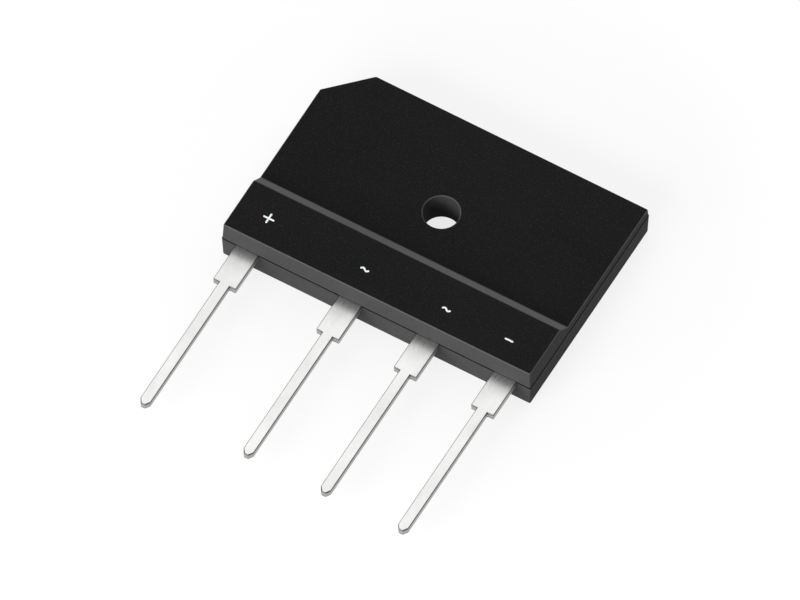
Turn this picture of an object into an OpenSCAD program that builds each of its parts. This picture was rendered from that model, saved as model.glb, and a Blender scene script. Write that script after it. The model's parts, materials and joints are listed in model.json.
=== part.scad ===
// Four-lead in-line bridge rectifier in a flat moulded body with a mounting hole.
// +Z points out of the marked face, +Y away from the leads, +X from the plus lead to the
// minus lead. The origin is on the axis of the hole, in the plane of the flat back.

/* [Body] */
// Width of the body along the row of leads
body_w = 30; // [29.4:0.2:40]
// Length of the body from the lead side to the far side
body_l = 20; // [18.5:0.5:28]
// Thickness of the main field
field_h = 3.4; // [3.2:0.1:4.2]
// Thickness of the ridge above the leads
ridge_h = 4.6; // [4.2:0.1:6]
// Length of the ridge's flat top from the lead side
ridge_l = 5.2; // [4:0.1:6.5]
// Angle of the slope from the ridge down to the field
ridge_angle = 45; // [30:5:75]
// Legs of the cut corner on the plus side
corner_cut = 3.5; // [2:0.1:5]
// Height of the parting plane above the back
parting_h = 2.5; // [2.4:0.05:2.9]
// Set-back of the upper mould half at the parting plane
mould_step = 0.04; // [0.02:0.01:0.08]
// Draft of the walls in degrees
draft = 2; // [0.5:0.5:3]

/* [Mounting hole] */
// Diameter of the bore
hole_d = 3.2; // [2.6:0.1:4.2]
// Distance of its axis from the lead side
hole_y = 11; // [10.5:0.5:12]
// Resin kept clear of metal round the bore
hole_wall = 1.8; // [1.4:0.1:2]

/* [Leads] */
// Spacing from the plus lead to the first alternating lead
plus_pitch = 10; // [8:0.1:10.4]
// Spacing between the two alternating leads
ac_pitch = 7.5; // [6:0.1:7.8]
// Spacing from the second alternating lead to the minus lead
minus_pitch = 7.5; // [6:0.1:7.8]
// Thickness of the lead sheet
lead_t = 0.7; // [0.5:0.05:0.85]
// Length of a lead outside the body
lead_l = 17.5; // [8:0.5:22]
// Width of the pin
pin_w = 1; // [0.7:0.1:1.4]
// Width of the shoulder and of the neck inside the body
neck_w = 2.2; // [1.8:0.1:2.6]
// Length of the shoulder outside the body
shoulder_l = 3.8; // [2:0.1:6]
// Length of the bevelled tip
tip_l = 0.45; // [0.2:0.05:0.8]
// Width left at the end of the tip
tip_w = 0.4; // [0.2:0.1:0.6]
// Length of the flat neck inside the body
neck_l = 2; // [1.7:0.1:2.2]
// Diameter of the hole in the neck that the resin fills
lock_d = 1; // [0.6:0.1:1.2]

/* [Lead frame pads] */
// Resin under the pads, which insulates them from the back
base_wall = 0.75; // [0.5:0.05:0.9]
// Resin between the plus pad and the far side
far_wall = 1; // [0.7:0.1:1.5]
// Gap between neighbouring pads
pad_gap = 0.8; // [0.6:0.1:1]
// Width of the leg behind the plus lead and of the pad behind the minus lead
leg_w = 2.8; // [2.7:0.1:3]
// Length of the pad behind the minus lead
minus_pad_l = 5.4; // [5:0.1:9]
// Inner radius of the bends in the lead sheet
lead_bend_r = 0.35; // [0.2:0.05:0.5]
// Radius of the stamped corners
stamp_r = 0.25; // [0.1:0.05:0.25]

/* [Dice] */
// Side of a silicon die
die_w = 3.8; // [3:0.1:4.6]
// Thickness of a die
die_t = 0.28; // [0.2:0.01:0.36]
// Width of the passivated bevel along its upper edges
die_bevel_w = 0.3; // [0.2:0.05:0.4]
// Height of that bevel
die_bevel_h = 0.12; // [0.06:0.02:0.16]
// Pad left free round a die
die_margin = 0.5; // [0.4:0.05:0.8]
// Thickness of a solder layer
solder_t = 0.06; // [0.04:0.01:0.1]

/* [Jumpers] */
// Width of a jumper
jumper_w = 2.4; // [1.8:0.1:2.8]
// Thickness of the jumper sheet
jumper_t = 0.35; // [0.25:0.05:0.4]
// Length of a foot on a die
foot_l = 2.4; // [1.8:0.1:2.6]
// Length of a foot on a pad
landing_l = 1.6; // [1.2:0.1:1.8]
// Pad left free beside a landing foot
landing_margin = 0.3; // [0.2:0.05:0.5]
// Lift of a jumper's span above its feet on the dice
span_lift = 0.45; // [0.4:0.05:0.55]
// Inner radius of the bends in a jumper
jumper_bend_r = 0.2; // [0.1:0.05:0.2]

/* [Hidden] */
$fn = 48;

left = -1;
right = 1;
over = 1; // how far a cutting solid passes what it cuts
bend_angle = 45; // every bend in the lead sheet and in the jumpers
arc_steps = 4; // flats along a rounded corner

// Body outline
front_y = -hole_y;
back_y = body_l - hole_y;
half_w = body_w / 2;

// Leads
row_l = plus_pitch + ac_pitch + minus_pitch;
lead_x = [-row_l / 2, plus_pitch - row_l / 2, row_l / 2 - minus_pitch, row_l / 2];
lead_z = parting_h - lead_t / 2; // middle of the sheet outside the body
pad_z = base_wall + lead_t / 2; // middle of the sheet in the pads
neck_end_y = front_y + neck_l;

// Levels of the stack on a pad
pad_top = base_wall + lead_t;
die_z = pad_top + solder_t;
die_top = die_z + die_t;
foot_z = die_top + solder_t + jumper_t / 2; // middle of a foot on a die
landing_z = pad_top + solder_t + jumper_t / 2; // middle of a foot on a pad
span_z = foot_z + span_lift; // middle of a raised span

// Stretch that each bend takes up on either side of its corner
lead_tuck = (lead_bend_r + lead_t / 2) * tan(bend_angle / 2);
jumper_tuck = (jumper_bend_r + jumper_t / 2) * tan(bend_angle / 2);

// Runs of the joggled stretches
lead_run = jog_run(lead_z - pad_z, lead_tuck);
lift_run = jog_run(span_lift, jumper_tuck);
drop_run = jog_run(span_z - landing_z, jumper_tuck);

// Pads and the dice on them
hole_keep = hole_d / 2 + hole_wall;
pads_y = neck_end_y + lead_run; // front edge of every pad
plus_pad_end = back_y - far_wall;
plus_pad_start = plus_pad_end - die_w - 2 * die_margin;
ac_pad_end = plus_pad_start - pad_gap;
ac_pad_inner = hole_keep;
ac_pad_outer = row_l / 2 - leg_w / 2 - pad_gap;
column_x = (ac_pad_inner + ac_pad_outer) / 2;
upper_y = plus_pad_start + die_margin + die_w / 2;
lower_y = pads_y + die_margin + die_w / 2;
landing_y = ac_pad_end - landing_margin - landing_l / 2;

// ---- outlines ----

function unit(v) = v / norm(v);

function backwards(list) = [for (i = [len(list) - 1 : -1 : 0]) list[i]];

// Points of corner b of the path a, b, c, rounded with radius r
function fillet(a, b, c, r) =
    let (
        u = unit(a - b),
        v = unit(c - b),
        half = acos(u * v) / 2,
        centre = b + unit(u + v) * r / sin(half),
        from = b + u * r / tan(half) - centre,
        start = atan2(from.y, from.x),
        turn = sign(cross(u, v)) * (2 * half - 180)
    )
    [for (i = [0 : arc_steps]) centre + r * [cos(start + turn * i / arc_steps), sin(start + turn * i / arc_steps)]];

function flat(p) = [p.x, p.y];

// Outline of [x, y, radius] corners, each rounded where its radius isn't zero
function rounded(corners) =
    let (n = len(corners))
    [
        for (i = [0 : n - 1])
            let (c = corners[i], before = corners[(i + n - 1) % n], after = corners[(i + 1) % n])
            each c.z > 0 ? fillet(flat(before), flat(c), flat(after), c.z) : [flat(c)]
    ];

// ---- bent sheet ----

// Length that a joggle of two bends takes along the sheet
function jog_run(rise, tuck) = abs(rise) / tan(bend_angle) + 2 * tuck;

// The two corners of a joggle that starts at [y, z] and carries the sheet up by rise
function jog(y, z, rise, tuck) = [[y + tuck, z], [y + tuck + abs(rise) / tan(bend_angle), z + rise]];

// One face of a sheet whose middle follows the path: side is 1 for its left face and -1 for its right
function sheet_face(path, side, thick, bend_r) = [
    for (i = [0 : len(path) - 1])
        let (
            last = len(path) - 1,
            to = unit(path[max(i, 1)] - path[max(i, 1) - 1]),
            from = unit(path[min(i, last - 1) + 1] - path[min(i, last - 1)]),
            miter = side * thick / 2 / (1 + to * from) * [-to.y - from.y, to.x + from.x],
            inside = side * cross(to, from) > 0,
            r = i == 0 || i == last ? 0 : inside ? bend_r : bend_r + thick
        )
        [path[i].x + miter.x, path[i].y + miter.y, r]
];

// Side view of a sheet with round bends, whose middle follows the path
function sheet_section(path, thick, bend_r) =
    let (
        upper = sheet_face(path, 1, thick, bend_r),
        lower = sheet_face(path, -1, thick, bend_r)
    )
    rounded([each lower, each backwards(upper)]);

// A sheet that runs along +Y with its middle on the path of [y, z] points
module bent_sheet(path, width, thick, bend_r) {
    translate([-width / 2, 0, 0])
        rotate([90, 0, 90])
            linear_extrude(width)
                polygon(sheet_section(path, thick, bend_r));
}

// ---- moulded case ----

// Walls of the two mould halves as [inset, z] points. The upper half is set back by mould_step,
// and reaches down inside the lower one.
function lower_wall(low) = [[(parting_h - low) * tan(draft), low], [0, parting_h]];

function upper_wall(high) = [
    [mould_step + over * tan(draft), parting_h - over],
    [mould_step, parting_h],
    [mould_step + (high - parting_h) * tan(draft), high]
];

// Block with the given side view, whose other walls, beside the leads and at the cut corner, are drafted
module walled_block(side_view, wall) {
    reach = body_w + body_l;
    low = wall[0].y;
    high = wall[len(wall) - 1].y;
    intersection() {
        translate([-body_w, 0, 0])
            rotate([90, 0, 90])
                linear_extrude(2 * body_w)
                    polygon(side_view);
        translate([0, reach, 0])
            rotate([90, 0, 0])
                linear_extrude(2 * reach)
                    polygon([
                        for (p = wall) [p.x - half_w, p.y],
                        for (p = backwards(wall)) [half_w - p.x, p.y]
                    ]);
        translate([-half_w + corner_cut, back_y, 0])
            rotate([90, 0, -45])
                translate([0, 0, -reach])
                    linear_extrude(2 * reach)
                        polygon([each wall, [reach, high], [reach, low]]);
    }
}

// Below the parting plane, with the flat back
module lower_half() {
    wall = lower_wall(0);
    walled_block(
        [
            for (p = wall) [front_y + p.x, p.y],
            for (p = backwards(wall)) [back_y - p.x, p.y]
        ],
        lower_wall(-over)
    );
}

// Above the parting plane: the ridge over the leads and the slope down to the field
module upper_half() {
    crest_y = front_y + ridge_l;
    foot_y = crest_y + (ridge_h - field_h) / tan(ridge_angle);
    walled_block(
        [
            for (p = upper_wall(ridge_h)) [front_y + p.x, p.y],
            [crest_y, ridge_h],
            [foot_y, field_h],
            for (p = backwards(upper_wall(field_h))) [back_y - p.x, p.y]
        ],
        upper_wall(ridge_h + over)
    );
}

module case() {
    color([0.06, 0.06, 0.065])
        difference() {
            union() {
                upper_half();
                lower_half();
            }
            translate([0, 0, -over])
                cylinder(d = hole_d, h = field_h + 2 * over);
            inserts();
        }
}

// ---- lead frame ----

// The sheet that all four leads are stamped from, joggled down behind the necks
module frame_sheet() {
    bent_sheet(
        [
            [front_y - lead_l - over, lead_z],
            each jog(neck_end_y, lead_z, pad_z - lead_z, lead_tuck),
            [back_y, pad_z]
        ],
        body_w, lead_t, lead_bend_r
    );
}

// Outline of lead i up to the front of its pad
module lead_outline(i) {
    tip_y = front_y - lead_l;
    shoulder_y = front_y - shoulder_l;
    half = [
        [neck_w / 2, pads_y + stamp_r],
        [neck_w / 2, shoulder_y],
        [pin_w / 2, shoulder_y],
        [pin_w / 2, tip_y + tip_l],
        [tip_w / 2, tip_y]
    ];
    other_half = [for (p = backwards(half)) [-p.x, p.y]];
    translate([lead_x[i], 0, 0])
        polygon(concat(half, other_half));
}

// Lead i, stamped from the sheet with the pad outlines that are its children
module lead(i) {
    color("silver")
        difference() {
            intersection() {
                frame_sheet();
                union() {
                    linear_extrude(parting_h + over)
                        lead_outline(i);
                    for (k = [0 : $children - 1])
                        linear_extrude(parting_h + over)
                            children(k);
                }
            }
            translate([lead_x[i], front_y + neck_l / 2, 0])
                cylinder(d = lock_d, h = parting_h + over);
        }
}

module rectangle(x0, x1, y0, y1) {
    polygon(rounded([
        [x0, y0, stamp_r],
        [x1, y0, stamp_r],
        [x1, y1, stamp_r],
        [x0, y1, stamp_r]
    ]));
}

// The common pad of both upper dice, with a leg down to the plus lead and a notch round the bore
module plus_pad_outline() {
    leg_left = lead_x[0] - leg_w / 2;
    leg_right = lead_x[0] + leg_w / 2;
    right_end = column_x + die_w / 2 + die_margin;
    // along the cut corner the pad keeps far_wall of resin, where it reaches that far
    cut = half_w + back_y - corner_cut - far_wall * sqrt(2);
    near_cut = plus_pad_end - leg_left - cut > stamp_r;
    cut_corners = near_cut
        ? [[plus_pad_end - cut, plus_pad_end, stamp_r], [leg_left, leg_left + cut, stamp_r]]
        : [[leg_left, plus_pad_end, stamp_r]];
    difference() {
        polygon(rounded([
            [leg_left, pads_y, stamp_r],
            [leg_right, pads_y, stamp_r],
            [leg_right, plus_pad_start, stamp_r],
            [right_end, plus_pad_start, stamp_r],
            [right_end, plus_pad_end, stamp_r],
            each cut_corners
        ]));
        circle(hole_keep);
    }
}

module lead_positive() lead(0) plus_pad_outline();

// Alternating lead i, whose pad is the column on the given side
module lead_ac(i, side) {
    near = side * ac_pad_inner;
    far = side * ac_pad_outer;
    middle = side * column_x;
    neck_edge = lead_x[i] - side * neck_w / 2;
    lead(i) {
        rectangle(min(near, far), max(near, far), pads_y, ac_pad_end);
        rectangle(min(neck_edge, middle), max(neck_edge, middle), pads_y, -hole_keep);
    }
}

module lead_ac_left() lead_ac(1, left);

module lead_ac_right() lead_ac(2, right);

module lead_negative() {
    lead(3)
        rectangle(lead_x[3] - leg_w / 2, lead_x[3] + leg_w / 2, pads_y, pads_y + minus_pad_l);
}

// ---- dice ----

// Silicon die in the column on the given side, with its anode and the passivated bevel upwards
module die(side, y) {
    low = die_w / 2;
    high = low - die_bevel_w;
    section = [
        [-low, 0], [low, 0], [low, die_t - die_bevel_h],
        [high, die_t], [-high, die_t], [-low, die_t - die_bevel_h]
    ];
    color([0.32, 0.34, 0.4])
        translate([side * column_x, y, die_z])
            intersection_for (angle = [0, 90])
                rotate([90, 0, angle])
                    translate([0, 0, -low])
                        linear_extrude(die_w)
                            polygon(section);
}

module die_upper_left() die(left, upper_y);

module die_upper_right() die(right, upper_y);

module die_lower_left() die(left, lower_y);

module die_lower_right() die(right, lower_y);

// ---- jumpers ----

module jumper(path) {
    color([0.72, 0.45, 0.2])
        bent_sheet(path, jumper_w, jumper_t, jumper_bend_r);
}

// From the pad of the alternating lead up to the anode on the plus pad, in the same column
module clip(side) {
    landing_end = landing_y + landing_l / 2;
    foot_start = upper_y - foot_l / 2;
    translate([side * column_x, 0, 0])
        jumper([
            [landing_end - landing_l, landing_z],
            each jog(landing_end, landing_z, span_z - landing_z, jumper_tuck),
            each jog(foot_start - lift_run, span_z, -span_lift, jumper_tuck),
            [foot_start + foot_l, foot_z]
        ]);
}

module clip_left() clip(left);

module clip_right() clip(right);

// From the pad of the minus lead over both lower anodes
module strap() {
    landing_start = lead_x[3] - landing_l / 2;
    right_foot = column_x - foot_l / 2;
    left_foot = -column_x - foot_l / 2;
    translate([0, lower_y, 0])
        rotate([0, 0, -90])
            jumper([
                [left_foot, foot_z],
                each jog(left_foot + foot_l, foot_z, span_lift, jumper_tuck),
                each jog(right_foot - lift_run, span_z, -span_lift, jumper_tuck),
                each jog(right_foot + foot_l, foot_z, span_lift, jumper_tuck),
                each jog(landing_start - drop_run, span_z, landing_z - span_z, jumper_tuck),
                [landing_start + landing_l, landing_z]
            ]);
}

// ---- solder ----

module solder(x, y, z, size) {
    color([0.75, 0.75, 0.78])
        translate([x - size.x / 2, y - size.y / 2, z])
            cube([size.x, size.y, solder_t]);
}

module solder_under(side, y) solder(side * column_x, y, pad_top, [die_w, die_w]);

module solder_under_upper_left() solder_under(left, upper_y);

module solder_under_upper_right() solder_under(right, upper_y);

module solder_under_lower_left() solder_under(left, lower_y);

module solder_under_lower_right() solder_under(right, lower_y);

module solder_over(side, y, size) solder(side * column_x, y, die_top, size);

module solder_over_upper_left() solder_over(left, upper_y, [jumper_w, foot_l]);

module solder_over_upper_right() solder_over(right, upper_y, [jumper_w, foot_l]);

module solder_over_lower_left() solder_over(left, lower_y, [foot_l, jumper_w]);

module solder_over_lower_right() solder_over(right, lower_y, [foot_l, jumper_w]);

module solder_clip_left() solder(left * column_x, landing_y, pad_top, [jumper_w, landing_l]);

module solder_clip_right() solder(right * column_x, landing_y, pad_top, [jumper_w, landing_l]);

module solder_strap() solder(lead_x[3], lower_y, pad_top, [landing_l, jumper_w]);

// Everything that the resin is moulded round
module inserts() {
    lead_positive();
    lead_ac_left();
    lead_ac_right();
    lead_negative();
    die_upper_left();
    die_upper_right();
    die_lower_left();
    die_lower_right();
    clip_left();
    clip_right();
    strap();
    solder_under_upper_left();
    solder_under_upper_right();
    solder_under_lower_left();
    solder_under_lower_right();
    solder_over_upper_left();
    solder_over_upper_right();
    solder_over_lower_left();
    solder_over_lower_right();
    solder_clip_left();
    solder_clip_right();
    solder_strap();
}

case();
lead_positive();
lead_ac_left();
lead_ac_right();
lead_negative();
die_upper_left();
die_upper_right();
die_lower_left();
die_lower_right();
clip_left();
clip_right();
strap();
solder_under_upper_left();
solder_under_upper_right();
solder_under_lower_left();
solder_under_lower_right();
solder_over_upper_left();
solder_over_upper_right();
solder_over_lower_left();
solder_over_lower_right();
solder_clip_left();
solder_clip_right();
solder_strap();
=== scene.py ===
"""Looks of a four-lead bridge rectifier: a matt black moulded body on tinned leads, lying on its flat back.

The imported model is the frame. The body and the leads get rounded edges here, the polarity signs are
printed on the ridge, and every piece gets a procedural material.
"""
import json
import math

import bmesh
import bpy
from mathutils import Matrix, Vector
from mathutils.bvhtree import BVHTree

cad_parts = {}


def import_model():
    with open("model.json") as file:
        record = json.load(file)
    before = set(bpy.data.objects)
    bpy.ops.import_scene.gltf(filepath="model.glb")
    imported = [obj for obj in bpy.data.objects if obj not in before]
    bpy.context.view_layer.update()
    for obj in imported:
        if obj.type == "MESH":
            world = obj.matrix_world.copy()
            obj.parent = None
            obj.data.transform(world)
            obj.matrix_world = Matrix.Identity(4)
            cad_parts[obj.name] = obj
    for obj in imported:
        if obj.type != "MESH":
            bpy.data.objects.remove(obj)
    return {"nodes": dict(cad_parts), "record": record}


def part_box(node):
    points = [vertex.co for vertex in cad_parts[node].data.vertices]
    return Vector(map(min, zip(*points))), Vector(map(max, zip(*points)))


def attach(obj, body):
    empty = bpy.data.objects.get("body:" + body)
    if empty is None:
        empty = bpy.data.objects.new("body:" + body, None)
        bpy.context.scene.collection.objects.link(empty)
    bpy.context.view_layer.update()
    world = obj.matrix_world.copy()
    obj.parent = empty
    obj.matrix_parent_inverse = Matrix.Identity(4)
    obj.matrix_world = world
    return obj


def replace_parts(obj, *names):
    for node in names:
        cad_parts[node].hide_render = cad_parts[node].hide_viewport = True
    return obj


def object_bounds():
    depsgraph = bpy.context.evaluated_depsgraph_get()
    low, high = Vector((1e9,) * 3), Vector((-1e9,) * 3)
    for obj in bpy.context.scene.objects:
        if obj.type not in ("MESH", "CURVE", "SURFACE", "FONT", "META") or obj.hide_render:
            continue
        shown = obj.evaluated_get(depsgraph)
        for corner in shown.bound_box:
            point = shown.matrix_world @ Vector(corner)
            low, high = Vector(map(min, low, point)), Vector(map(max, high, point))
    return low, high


MM = 0.001

# Edges
WELD = 0.0001 * MM  # vertices closer than this are one
FLAT = math.radians(0.5)  # faces within this angle are one flat face
SHARP = math.radians(20)  # edges above this angle get rounded
CRISP = math.radians(40)  # edges above this angle aren't shaded smooth
EDGE_STEPS = 3
CASE_EDGE = 0.14 * MM
LEAD_EDGE = 0.09 * MM
PROBE = 0.01 * MM  # how far off a face a ray starts

# Polarity signs
INK_T = 0.012 * MM
STROKE = 0.16 * MM
PLUS_SPAN = 1.05 * MM
MINUS_SPAN = 0.82 * MM
WAVE_SPAN = 0.86 * MM
WAVE_RISE = 0.1 * MM
WAVE_STEPS = 24
END_STEPS = 8
SIGN_FROM_FRONT = 2.2 * MM
PLUS_FROM_FRONT = 2.55 * MM

# How far each sign stands to the side of its lead, in millimetres
SIGN_ASIDE = {"positive": 0.64, "ac_left": 0.15, "ac_right": 0.56, "negative": -0.85}

# Colours, each pair from the darkest to the palest tone unless it says otherwise
# Resin tones: the level faces are painted near-black as painted shade, the walls paler as painted light, and
# the slope palest as painted light.
PAINTED_SHADE_FACE_TONES = ((0.004, 0.004, 0.0042, 1), (0.010, 0.010, 0.0103, 1))
PAINTED_LIGHT_WALL_TONES = ((0.038, 0.038, 0.0385, 1), (0.063, 0.063, 0.0635, 1))
PAINTED_LIGHT_SLOPE_TONES = ((0.076, 0.076, 0.0765, 1), (0.125, 0.125, 0.1255, 1))
SPECK_TONE = (0.06, 0.06, 0.06, 1)
# The witness line sits at the real parting; its near-black is painted shade.
WITNESS_PAINTED_SHADE_TONE = (0.002, 0.002, 0.002, 1)
PLATE_TONES = ((0.76, 0.76, 0.75, 1), (0.87, 0.87, 0.86, 1))
# Stamped sides of the leads: real shear marks, painted darker grey as painted shade.
CUT_TONES_PAINTED_SHADE = ((0.28, 0.28, 0.28, 1), (0.52, 0.52, 0.51, 1))
# Dark painted shade along the rounded edges of the leads.
EDGE_PAINTED_SHADE_TONE = (0.1, 0.1, 0.1, 1)
INK_TONES = ((0.62, 0.67, 0.68, 1), (0.88, 0.91, 0.91, 1))
COPPER_TONES = ((0.79, 0.43, 0.26, 1), (0.55, 0.27, 0.16, 1))  # clean, tarnished
SILICON_TONES = ((0.30, 0.31, 0.35, 1), (0.10, 0.13, 0.20, 1))  # lapped, glassy
SOLDER_TONES = ((0.76, 0.76, 0.78, 1), (0.60, 0.60, 0.61, 1))  # bright, frosted
PAPER_TONE = (0.65, 0.65, 0.65, 1)
WHITE = (1, 1, 1, 1)

# How far a normal points up or down, from 0 on a wall to 1 on a level face, where a mask starts and ends
WALL_RANGE = (0.75, 0.95)
STEEP_RANGE = (0.3, 0.6)
# Where the painted shade strip on the leads' rounded edges starts and ends.
EDGE_SHADE_LEVEL = (0.9, 0.99)
EDGE_SHADE_STEEP = (0.05, 0.25)
GLASS_RANGE = (0.97, 0.99)

RESIN_GLOSS = 0.06
INK_ROUGH = 0.6
PAPER_ROUGH = 0.9

# Relief of the surfaces
GRAIN_DEPTH = 0.010 * MM
PIT_DEPTH = 0.012 * MM
STREAK_DEPTH = 0.004 * MM
INK_DEPTH = 0.003 * MM
COPPER_DEPTH = 0.003 * MM
FROST_DEPTH = 0.004 * MM

# Witness line of the mould, painted near-black as painted shade, in millimetres
WITNESS_REACH = (0.03, 0.07)  # off the parting plane, where the line fades
BORE_REACH = (0.2, 0.4)  # off the bore's wall, where the line begins

# Camera
AZIMUTH = math.radians(30)
ELEVATION = math.radians(58)
CAMERA_AWAY = 0.4
PICTURE_W = 67.2 * MM
AIM = Vector((1.4, 0.35, 0)) * MM  # right and up from the middle of the part, in the picture's plane

# Stage
SKY = (0.08, 0.35)  # at the horizon and overhead
PAPER = 1.1  # how bright the floor and the world below the horizon are seen, 1 being white
GLOW_NEAR = 0.72  # share of the floor's own glow beside the object, and all of it beyond GLOW_RANGE
GLOW_RANGE = (24.0, 60.0)  # millimetres from the middle of the part
FLOOR_R = 1.5
FLOOR_SIDES = 96
SKY_TOP = 0.7  # height of the sky's direction from which it is as pale as overhead
HORIZON = 0.01  # depth below the horizon within which the sky turns to paper

# Lamps: azimuth and elevation in degrees, distance and size in metres, level
LAMPS = {
    "key": (-12, 18, 0.4, 0.34, 1.75),
    "softbox": (210, 54, 0.5, 0.6, 0.315),
    "rim": (172, 24, 0.4, 0.4, 0.6),
}

# ---------------------------------------------------------------- frame

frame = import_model()
cad_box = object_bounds()
nodes = frame["nodes"]
mounts = {m["name"]: m for m in frame["record"]["mounts"]}
case_low, case_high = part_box("case")
parting_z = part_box("lead_positive")[1].z
hole_r = mounts["mounting_hole"]["dims"]["r_mm"] * MM
hole_axis = Vector(mounts["mounting_hole"]["pos_m"])
LEADS = ["lead_positive", "lead_ac_left", "lead_ac_right", "lead_negative"]


# ---------------------------------------------------------------- node helpers


def new_material(name):
    """A material with its node tree and principled shader."""
    material = bpy.data.materials.new(name)
    material.use_nodes = True
    tree = material.node_tree
    return material, tree, tree.nodes["Principled BSDF"]


def add(tree, kind, inputs=None, **settings):
    """A node with its settings, whose inputs take numbers or the outputs of other nodes."""
    made = tree.nodes.new(kind)
    for name, value in settings.items():
        setattr(made, name, value)
    for name, value in (inputs or {}).items():
        connect(tree, made.inputs[name], value)
    return made


def connect(tree, socket, value):
    """Links a node's output to the socket, or sets the socket to a plain value."""
    if isinstance(value, bpy.types.NodeSocket):
        tree.links.new(value, socket)
    else:
        socket.default_value = value


def place(tree, stretch=(1, 1, 1)):
    """Coordinates in the object's own frame, in millimetres, stretched by axis."""
    coordinates = add(tree, "ShaderNodeTexCoord").outputs["Object"]
    scale = [1 / MM / s for s in stretch]
    return add(tree, "ShaderNodeMapping", {"Vector": coordinates, "Scale": scale}).outputs["Vector"]


def noise(tree, size, stretch=(1, 1, 1), detail=2.0):
    """Soft noise from 0 to 1 whose spots are about size millimetres across."""
    inputs = {"Vector": place(tree, stretch), "Scale": 1 / size, "Detail": detail}
    return add(tree, "ShaderNodeTexNoise", inputs).outputs["Fac"]


def spread(tree, value, from_range, to_range):
    """Value mapped from one range to another, held at the ends."""
    inputs = {
        "Value": value,
        "From Min": from_range[0],
        "From Max": from_range[1],
        "To Min": to_range[0],
        "To Max": to_range[1],
    }
    return add(tree, "ShaderNodeMapRange", inputs).outputs["Result"]


def math_node(tree, operation, a, b=0.0):
    """Result of a sum on two values."""
    made = add(tree, "ShaderNodeMath", operation=operation)
    connect(tree, made.inputs[0], a)
    connect(tree, made.inputs[1], b)
    return made.outputs[0]


def blend(tree, amount, first, second):
    """Colour between first and second."""
    made = add(tree, "ShaderNodeMix", data_type="RGBA")
    connect(tree, made.inputs["Factor"], amount)
    connect(tree, made.inputs["A"], first)
    connect(tree, made.inputs["B"], second)
    return made.outputs["Result"]


def vertical(tree, vector):
    """The upward part of a vector."""
    return add(tree, "ShaderNodeSeparateXYZ", {"Vector": vector}).outputs["Z"]


def bump(tree, height, depth, before=None):
    """Normal of a surface whose relief is depth metres from height 0 to 1."""
    inputs = {"Height": height, "Distance": depth, "Strength": 1.0}
    if before:
        inputs["Normal"] = before
    return add(tree, "ShaderNodeBump", inputs).outputs["Normal"]


# ---------------------------------------------------------------- materials


def upright(tree, low, high):
    """1 on walls and 0 on level faces, by how far the normal points up or down."""
    up = vertical(tree, add(tree, "ShaderNodeNewGeometry").outputs["Normal"])
    return spread(tree, math_node(tree, "ABSOLUTE", up), (low, high), (1.0, 0.0))


def at_parting(tree):
    """1 along the plane where the two mould halves meet."""
    above = math_node(tree, "SUBTRACT", vertical(tree, place(tree)), parting_z / MM)
    return spread(tree, math_node(tree, "ABSOLUTE", above), WITNESS_REACH, (1.0, 0.0))


def off_bore(tree):
    """0 on the wall of the bore, which a core pin forms, and 1 outside it."""
    inputs = {0: place(tree), 1: (1, 1, 0)}
    flat = add(tree, "ShaderNodeVectorMath", inputs, operation="MULTIPLY").outputs["Vector"]
    inputs = {0: flat, 1: (hole_axis.x / MM, hole_axis.y / MM, 0)}
    off = add(tree, "ShaderNodeVectorMath", inputs, operation="DISTANCE").outputs["Value"]
    reach = [hole_r / MM + step for step in BORE_REACH]
    return spread(tree, off, reach, (0.0, 1.0))


def resin_colour(tree, grain, flow, walls):
    """Level faces painted nearly black as painted shade, walls and slope painted paler as painted light,
    faint filler specks, and a witness line at the parting painted near-black as painted shade.
    """
    uneven = math_node(tree, "ADD", grain, math_node(tree, "MULTIPLY", flow, 0.6))
    tone = spread(tree, uneven, (0.5, 1.1), (0, 1))
    # painted shade on level faces, painted light on walls and, palest, on the slope
    face = blend(tree, tone, *PAINTED_SHADE_FACE_TONES)
    painted_light_wall = blend(tree, tone, *PAINTED_LIGHT_WALL_TONES)
    painted_light_slope = blend(tree, tone, *PAINTED_LIGHT_SLOPE_TONES)
    # the painted light of walls and slope, blended by how steep the face is
    side = blend(tree, upright(tree, *STEEP_RANGE), painted_light_slope, painted_light_wall)
    specks = spread(tree, noise(tree, 0.1, detail=0.0), (0.7, 0.76), (0.0, 0.4))
    body = blend(tree, specks, blend(tree, walls, face, side), SPECK_TONE)
    # the witness line along the parting, painted near-black as painted shade
    line = math_node(tree, "MULTIPLY", at_parting(tree), off_bore(tree))
    return blend(tree, line, body, WITNESS_PAINTED_SHADE_TONE)


def resin():
    """Black filled moulding resin: fine eroded grain, faint flow marks, painted shade on level faces and
    painted light on walls and slope, and a witness line at the parting painted near-black as painted shade.
    """
    material, tree, shader = new_material("resin_black")
    grain = noise(tree, 0.09, detail=3.0)
    pits = noise(tree, 0.28, detail=1.0)
    flow = noise(tree, 5.0, stretch=(2.5, 1, 1), detail=4.0)
    # this mask carries the walls' painted light and their extra roughness
    walls = upright(tree, *WALL_RANGE)
    connect(tree, shader.inputs["Base Color"], resin_colour(tree, grain, flow, walls))
    uneven = math_node(tree, "ADD", flow, math_node(tree, "MULTIPLY", grain, 0.5))
    rough = spread(tree, uneven, (0.4, 1.1), (0.5, 0.66))
    rougher = math_node(tree, "MULTIPLY", walls, 0.2)
    connect(tree, shader.inputs["Roughness"], math_node(tree, "ADD", rough, rougher))
    relief = bump(tree, grain, GRAIN_DEPTH)
    relief = bump(tree, pits, PIT_DEPTH, relief)
    connect(tree, shader.inputs["Normal"], relief)
    shader.inputs["Specular IOR Level"].default_value = RESIN_GLOSS
    return material


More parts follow.
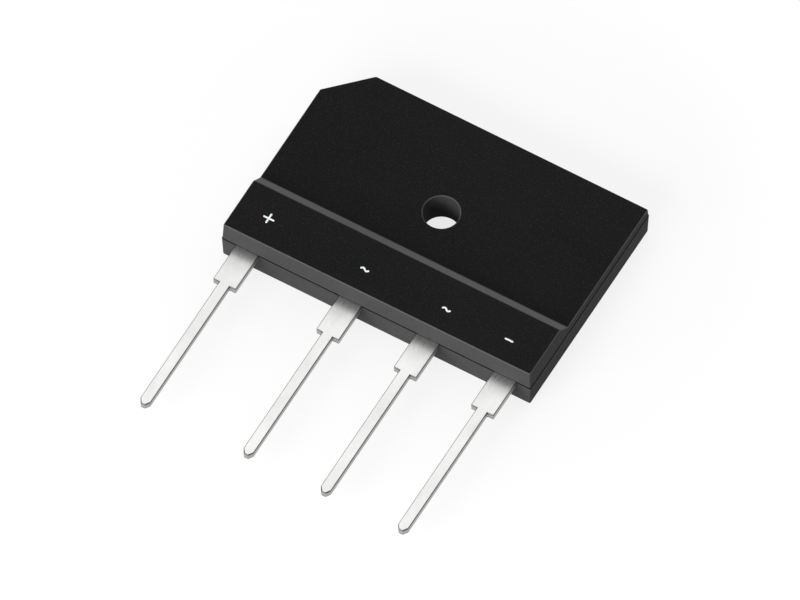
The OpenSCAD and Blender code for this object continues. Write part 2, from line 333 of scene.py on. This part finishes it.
def tin_plate():
    """Satin tin plate: drawn streaks along the leads, upright shear marks on the stamped sides, which are
    painted darker grey as painted shade, and a dark strip of painted shade along the rounded edges.
    """
    material, tree, shader = new_material("tin_plate")
    streaks = noise(tree, 0.06, stretch=(1, 14, 1), detail=3.0)
    clouds = noise(tree, 1.6, stretch=(1, 2, 1), detail=3.0)
    shear = noise(tree, 0.05, stretch=(1, 1, 9), detail=2.0)
    side = upright(tree, *STEEP_RANGE)
    marks = add(tree, "ShaderNodeMix", {"Factor": side, "A": streaks, "B": shear}).outputs["Result"]
    plate = blend(tree, spread(tree, clouds, (0.3, 0.7), (0, 1)), *PLATE_TONES)
    # the stamped sides painted darker grey as painted shade, over their shear marks
    shaded_cut = blend(tree, shear, *CUT_TONES_PAINTED_SHADE)
    skin = blend(tree, side, plate, shaded_cut)
    # a dark strip of painted shade along the rounded edges
    edge = math_node(tree, "SUBTRACT", upright(tree, *EDGE_SHADE_LEVEL), upright(tree, *EDGE_SHADE_STEEP))
    connect(tree, shader.inputs["Base Color"], blend(tree, edge, skin, EDGE_PAINTED_SHADE_TONE))
    uneven = math_node(tree, "ADD", marks, math_node(tree, "MULTIPLY", side, 0.4))
    connect(tree, shader.inputs["Roughness"], spread(tree, uneven, (0.3, 1.1), (0.26, 0.5)))
    connect(tree, shader.inputs["Normal"], bump(tree, marks, STREAK_DEPTH))
    shader.inputs["Metallic"].default_value = 1.0
    return material


def ink():
    """Matt white marking ink, thin in spots."""
    material, tree, shader = new_material("ink_white")
    cover = spread(tree, noise(tree, 0.07, detail=3.0), (0.3, 0.6), (0, 1))
    connect(tree, shader.inputs["Base Color"], blend(tree, cover, *INK_TONES))
    connect(tree, shader.inputs["Normal"], bump(tree, cover, INK_DEPTH))
    shader.inputs["Roughness"].default_value = INK_ROUGH
    return material


def copper():
    """Bare rolled copper with faint tarnish."""
    material, tree, shader = new_material("copper_bare")
    streaks = noise(tree, 0.08, stretch=(12, 1, 1), detail=3.0)
    tarnish = spread(tree, noise(tree, 1.2, detail=4.0), (0.35, 0.7), (0, 1))
    connect(tree, shader.inputs["Base Color"], blend(tree, tarnish, *COPPER_TONES))
    connect(tree, shader.inputs["Roughness"], spread(tree, streaks, (0.3, 0.7), (0.25, 0.42)))
    connect(tree, shader.inputs["Normal"], bump(tree, streaks, COPPER_DEPTH))
    shader.inputs["Metallic"].default_value = 1.0
    return material


def silicon():
    """Lapped silicon with a glassy bevel round its upper face."""
    material, tree, shader = new_material("silicon_lapped")
    lapping = noise(tree, 0.04, detail=2.0)
    up = vertical(tree, add(tree, "ShaderNodeNewGeometry").outputs["Normal"])
    glass = spread(tree, up, GLASS_RANGE, (1.0, 0.0))
    uneven = math_node(tree, "SUBTRACT", lapping, glass)
    connect(tree, shader.inputs["Base Color"], blend(tree, glass, *SILICON_TONES))
    connect(tree, shader.inputs["Roughness"], spread(tree, uneven, (-1, 1), (0.1, 0.45)))
    connect(tree, shader.inputs["Metallic"], spread(tree, glass, (0, 1), (0.85, 0.1)))
    return material


def solder():
    """Reflowed solder: bright, with dull frosted islands."""
    material, tree, shader = new_material("solder_reflowed")
    frost = spread(tree, noise(tree, 0.35, detail=5.0), (0.4, 0.65), (0, 1))
    connect(tree, shader.inputs["Base Color"], blend(tree, frost, *SOLDER_TONES))
    connect(tree, shader.inputs["Roughness"], spread(tree, frost, (0, 1), (0.22, 0.55)))
    connect(tree, shader.inputs["Normal"], bump(tree, frost, FROST_DEPTH))
    shader.inputs["Metallic"].default_value = 1.0
    return material


# ---------------------------------------------------------------- rounded edges


def blank(node):
    """The node's mesh with its seams welded and its flat faces joined."""
    shape = bmesh.new()
    shape.from_mesh(nodes[node].data)
    bmesh.ops.remove_doubles(shape, verts=shape.verts, dist=WELD)
    bmesh.ops.dissolve_limit(shape, angle_limit=FLAT, verts=shape.verts, edges=shape.edges)
    shape.normal_update()
    return shape


def open_faces(shape):
    """Faces that nothing of the same piece stands in front of."""
    tree = BVHTree.FromBMesh(shape)
    return {
        face
        for face in shape.faces
        if tree.ray_cast(face.calc_center_median() + face.normal * PROBE, face.normal)[0] is None
    }


def case_edges(shape):
    """Outer edges of the case and both rims of its bore.

    The parting and the openings for the leads stay crisp.
    """
    outside = open_faces(shape)
    chosen = []
    for edge in shape.edges:
        open_sides = sum(face in outside for face in edge.link_faces)
        middle = (edge.verts[0].co + edge.verts[1].co) / 2
        at_bore = (middle - hole_axis).xy.length < hole_r + WELD
        on_parting = all(abs(v.co.z - parting_z) < WELD for v in edge.verts)
        if open_sides == 2 and not on_parting or open_sides and at_bore:
            chosen.append(edge)
    return chosen


def lead_edges(shape):
    """Edges of a lead outside the body, and those that run into it."""
    return [edge for edge in shape.edges if min(v.co.y for v in edge.verts) < case_low.y]


def rounded(node, width, pick, material):
    """A copy of a CAD node with the picked edges rounded, which stands for it."""
    shape = blank(node)
    edges = [e for e in pick(shape) if e.is_manifold and e.calc_face_angle() > SHARP]
    form = {"offset_type": "OFFSET", "segments": EDGE_STEPS, "profile": 0.5, "affect": "EDGES"}
    bmesh.ops.bevel(shape, geom=edges, offset=width, **form)
    # where the rounding ends inside the body it leaves slivers of no size
    bmesh.ops.dissolve_degenerate(shape, dist=WELD, edges=shape.edges)
    bmesh.ops.remove_doubles(shape, verts=shape.verts, dist=WELD)
    mesh = bpy.data.meshes.new(node + "_rounded")
    shape.to_mesh(mesh)
    shape.free()
    piece = new_piece(node + "_rounded", mesh, material)
    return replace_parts(piece, node)


def new_piece(name, mesh, material):
    """An object that rides on the body, shaded smooth between its crisp edges."""
    piece = bpy.data.objects.new(name, mesh)
    bpy.context.scene.collection.objects.link(piece)
    mesh.materials.clear()
    mesh.materials.append(material)
    mesh.shade_smooth()
    mesh.set_sharp_from_angle(angle=CRISP)
    weighted = piece.modifiers.new("weighted_normals", "WEIGHTED_NORMAL")
    weighted.keep_sharp = True
    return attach(piece, "root")


# ---------------------------------------------------------------- polarity signs


def arc(centre, radius, start, turn):
    """Points of an arc, angles in radians."""
    angles = [start + turn * i / END_STEPS for i in range(END_STEPS + 1)]
    return [centre + radius * Vector((math.cos(a), math.sin(a))) for a in angles]


def ribbon(line):
    """Outline of a stroke with round ends that follows a line of points."""
    half = STROKE / 2
    steps = [line[min(i + 1, len(line) - 1)] - line[max(i - 1, 0)] for i in range(len(line))]
    across = [Vector((-s.y, s.x)).normalized() * half for s in steps]
    first, last = steps[0], steps[-1]
    right = [p - a for p, a in zip(line, across)]
    left = [p + a for p, a in zip(line, across)]
    end = arc(line[-1], half, math.atan2(last.y, last.x) - math.pi / 2, math.pi)
    start = arc(line[0], half, math.atan2(first.y, first.x) + math.pi / 2, math.pi)
    return right[1:-1] + end + left[-2:0:-1] + start


def plus():
    """Outline of two crossing strokes with round ends."""
    half, reach = STROKE / 2, (PLUS_SPAN - STROKE) / 2
    outline = []
    for quarter in range(4):
        angle = quarter * math.pi / 2
        along = Vector((math.cos(angle), math.sin(angle)))
        outline.append(half * (along + Vector((along.y, -along.x))))
        outline += arc(reach * along, half, angle - math.pi / 2, math.pi)
    return outline


def minus():
    """Outline of one straight stroke with round ends."""
    reach = (MINUS_SPAN - STROKE) / 2
    return ribbon([Vector((reach * t, 0)) for t in (-1, -0.5, 0.5, 1)])


def wave():
    """Outline of one period of a sine."""
    reach = (WAVE_SPAN - STROKE) / 2
    shares = [2 * i / WAVE_STEPS - 1 for i in range(WAVE_STEPS + 1)]
    return ribbon([Vector((reach * t, -WAVE_RISE * math.sin(math.pi * t))) for t in shares])


def printed(name, outline, x, y, material):
    """A sign as a thin layer of ink on the ridge."""
    shape = bmesh.new()
    base = case_high.z
    foot = shape.faces.new([shape.verts.new((x + p.x, y + p.y, base)) for p in outline])
    raised = bmesh.ops.extrude_face_region(shape, geom=[foot])["geom"]
    top = [v for v in raised if isinstance(v, bmesh.types.BMVert)]
    bmesh.ops.translate(shape, verts=top, vec=(0, 0, INK_T))
    bmesh.ops.recalc_face_normals(shape, faces=shape.faces)
    mesh = bpy.data.meshes.new(name)
    shape.to_mesh(mesh)
    shape.free()
    return new_piece(name, mesh, material)


def print_signs(material):
    """Each sign stands over its own lead, a little to one side as on the body."""
    front = case_low.y
    signs = {
        "positive": (plus(), PLUS_FROM_FRONT),
        "ac_left": (wave(), SIGN_FROM_FRONT),
        "ac_right": (wave(), SIGN_FROM_FRONT),
        "negative": (minus(), SIGN_FROM_FRONT),
    }
    for lead, (outline, from_front) in signs.items():
        x = mounts["pin_" + lead]["pos_m"][0] + SIGN_ASIDE[lead] * MM
        printed("sign_" + lead, outline, x, front + from_front, material)


# ---------------------------------------------------------------- stage


def background_ray(tree):
    """1 for rays that see the background itself: from the camera, in gloss and through glass."""
    path = add(tree, "ShaderNodeLightPath").outputs
    seen = math_node(tree, "MAXIMUM", path["Is Camera Ray"], path["Is Glossy Ray"])
    return math_node(tree, "MAXIMUM", seen, path["Is Transmission Ray"])


def world():
    """A plain soft sky, paler overhead than at the horizon, and as pale as the floor below it."""
    made = bpy.data.worlds.new("studio")
    bpy.context.scene.world = made
    made.use_nodes = True
    tree = made.node_tree
    background = tree.nodes["Background"]
    background.inputs["Color"].default_value = WHITE
    height = vertical(tree, add(tree, "ShaderNodeTexCoord").outputs["Generated"])
    sky = spread(tree, height, (0.0, SKY_TOP), SKY)
    below = spread(tree, height, (-HORIZON, 0.0), (1.0, 0.0))
    level = add(tree, "ShaderNodeMix", {"Factor": below, "A": sky, "B": PAPER}).outputs["Result"]
    connect(tree, background.inputs["Strength"], level)


def floor():
    """A wide pale floor that glows a little where it is seen, and keeps the object's shadow."""
    bpy.ops.mesh.primitive_circle_add(vertices=FLOOR_SIDES, radius=FLOOR_R, fill_type="NGON")
    ground = bpy.context.object
    ground.name = "floor"
    material, tree, shader = new_material("floor_paper")
    shader.inputs["Base Color"].default_value = PAPER_TONE
    shader.inputs["Roughness"].default_value = PAPER_ROUGH
    shader.inputs["Specular IOR Level"].default_value = 0.0
    glow = add(tree, "ShaderNodeEmission", {"Color": WHITE, "Strength": PAPER})
    away = add(tree, "ShaderNodeVectorMath", {0: place(tree)}, operation="LENGTH").outputs["Value"]
    growing = spread(tree, away, GLOW_RANGE, (GLOW_NEAR, 1.0))
    share = math_node(tree, "MULTIPLY", background_ray(tree), growing)
    mixed = add(tree, "ShaderNodeMixShader", {"Fac": share})
    tree.links.new(shader.outputs[0], mixed.inputs[1])
    tree.links.new(glow.outputs[0], mixed.inputs[2])
    tree.links.new(mixed.outputs[0], tree.nodes["Material Output"].inputs["Surface"])
    ground.data.materials.append(material)


def lamp(name, azimuth, elevation, away, size, level):
    """A square soft lamp aimed at the object.

    Its level is the light it gives on a face turned to it.
    """
    data = bpy.data.lights.new(name, "AREA")
    data.shape = "SQUARE"
    data.size = size
    data.energy = level * math.pi ** 2 * away ** 2
    made = bpy.data.objects.new(name, data)
    bpy.context.scene.collection.objects.link(made)
    back = direction(math.radians(azimuth), math.radians(elevation))
    made.location = back * away
    made.rotation_mode = "QUATERNION"
    made.rotation_quaternion = (-back).to_track_quat("-Z", "Y")


def direction(azimuth, elevation):
    """Unit vector towards a viewer at that azimuth and elevation, azimuth 0 being in front of the leads."""
    flat = math.cos(elevation)
    return Vector((math.sin(azimuth) * flat, -math.cos(azimuth) * flat, math.sin(elevation)))


def camera():
    """A parallel view down on the marked face, from the lead side and a little to the right."""
    data = bpy.data.cameras.new("camera")
    data.type = "ORTHO"
    data.ortho_scale = PICTURE_W
    made = bpy.data.objects.new("camera", data)
    bpy.context.scene.collection.objects.link(made)
    back = direction(AZIMUTH, ELEVATION)
    turn = (-back).to_track_quat("-Z", "Y")
    middle = (cad_box[0] + cad_box[1]) / 2
    made.location = middle + turn @ AIM + back * CAMERA_AWAY
    made.rotation_mode = "QUATERNION"
    made.rotation_quaternion = turn
    bpy.context.scene.camera = made


# ---------------------------------------------------------------- the model

black, tin, bare, wafer, joint = resin(), tin_plate(), copper(), silicon(), solder()
camera()
rounded("case", CASE_EDGE, case_edges, black)
for lead in LEADS:
    rounded(lead, LEAD_EDGE, lead_edges, tin)
finishes = {"die": wafer, "clip": bare, "strap": bare, "solder": joint}
for name, cad_node in nodes.items():
    for start, finish in finishes.items():
        if name.startswith(start):
            cad_node.material_slots[0].material = finish
print_signs(ink())

world()
floor()
for name, values in LAMPS.items():
    lamp(name, *values)

bpy.context.scene.view_settings.view_transform = "Standard"
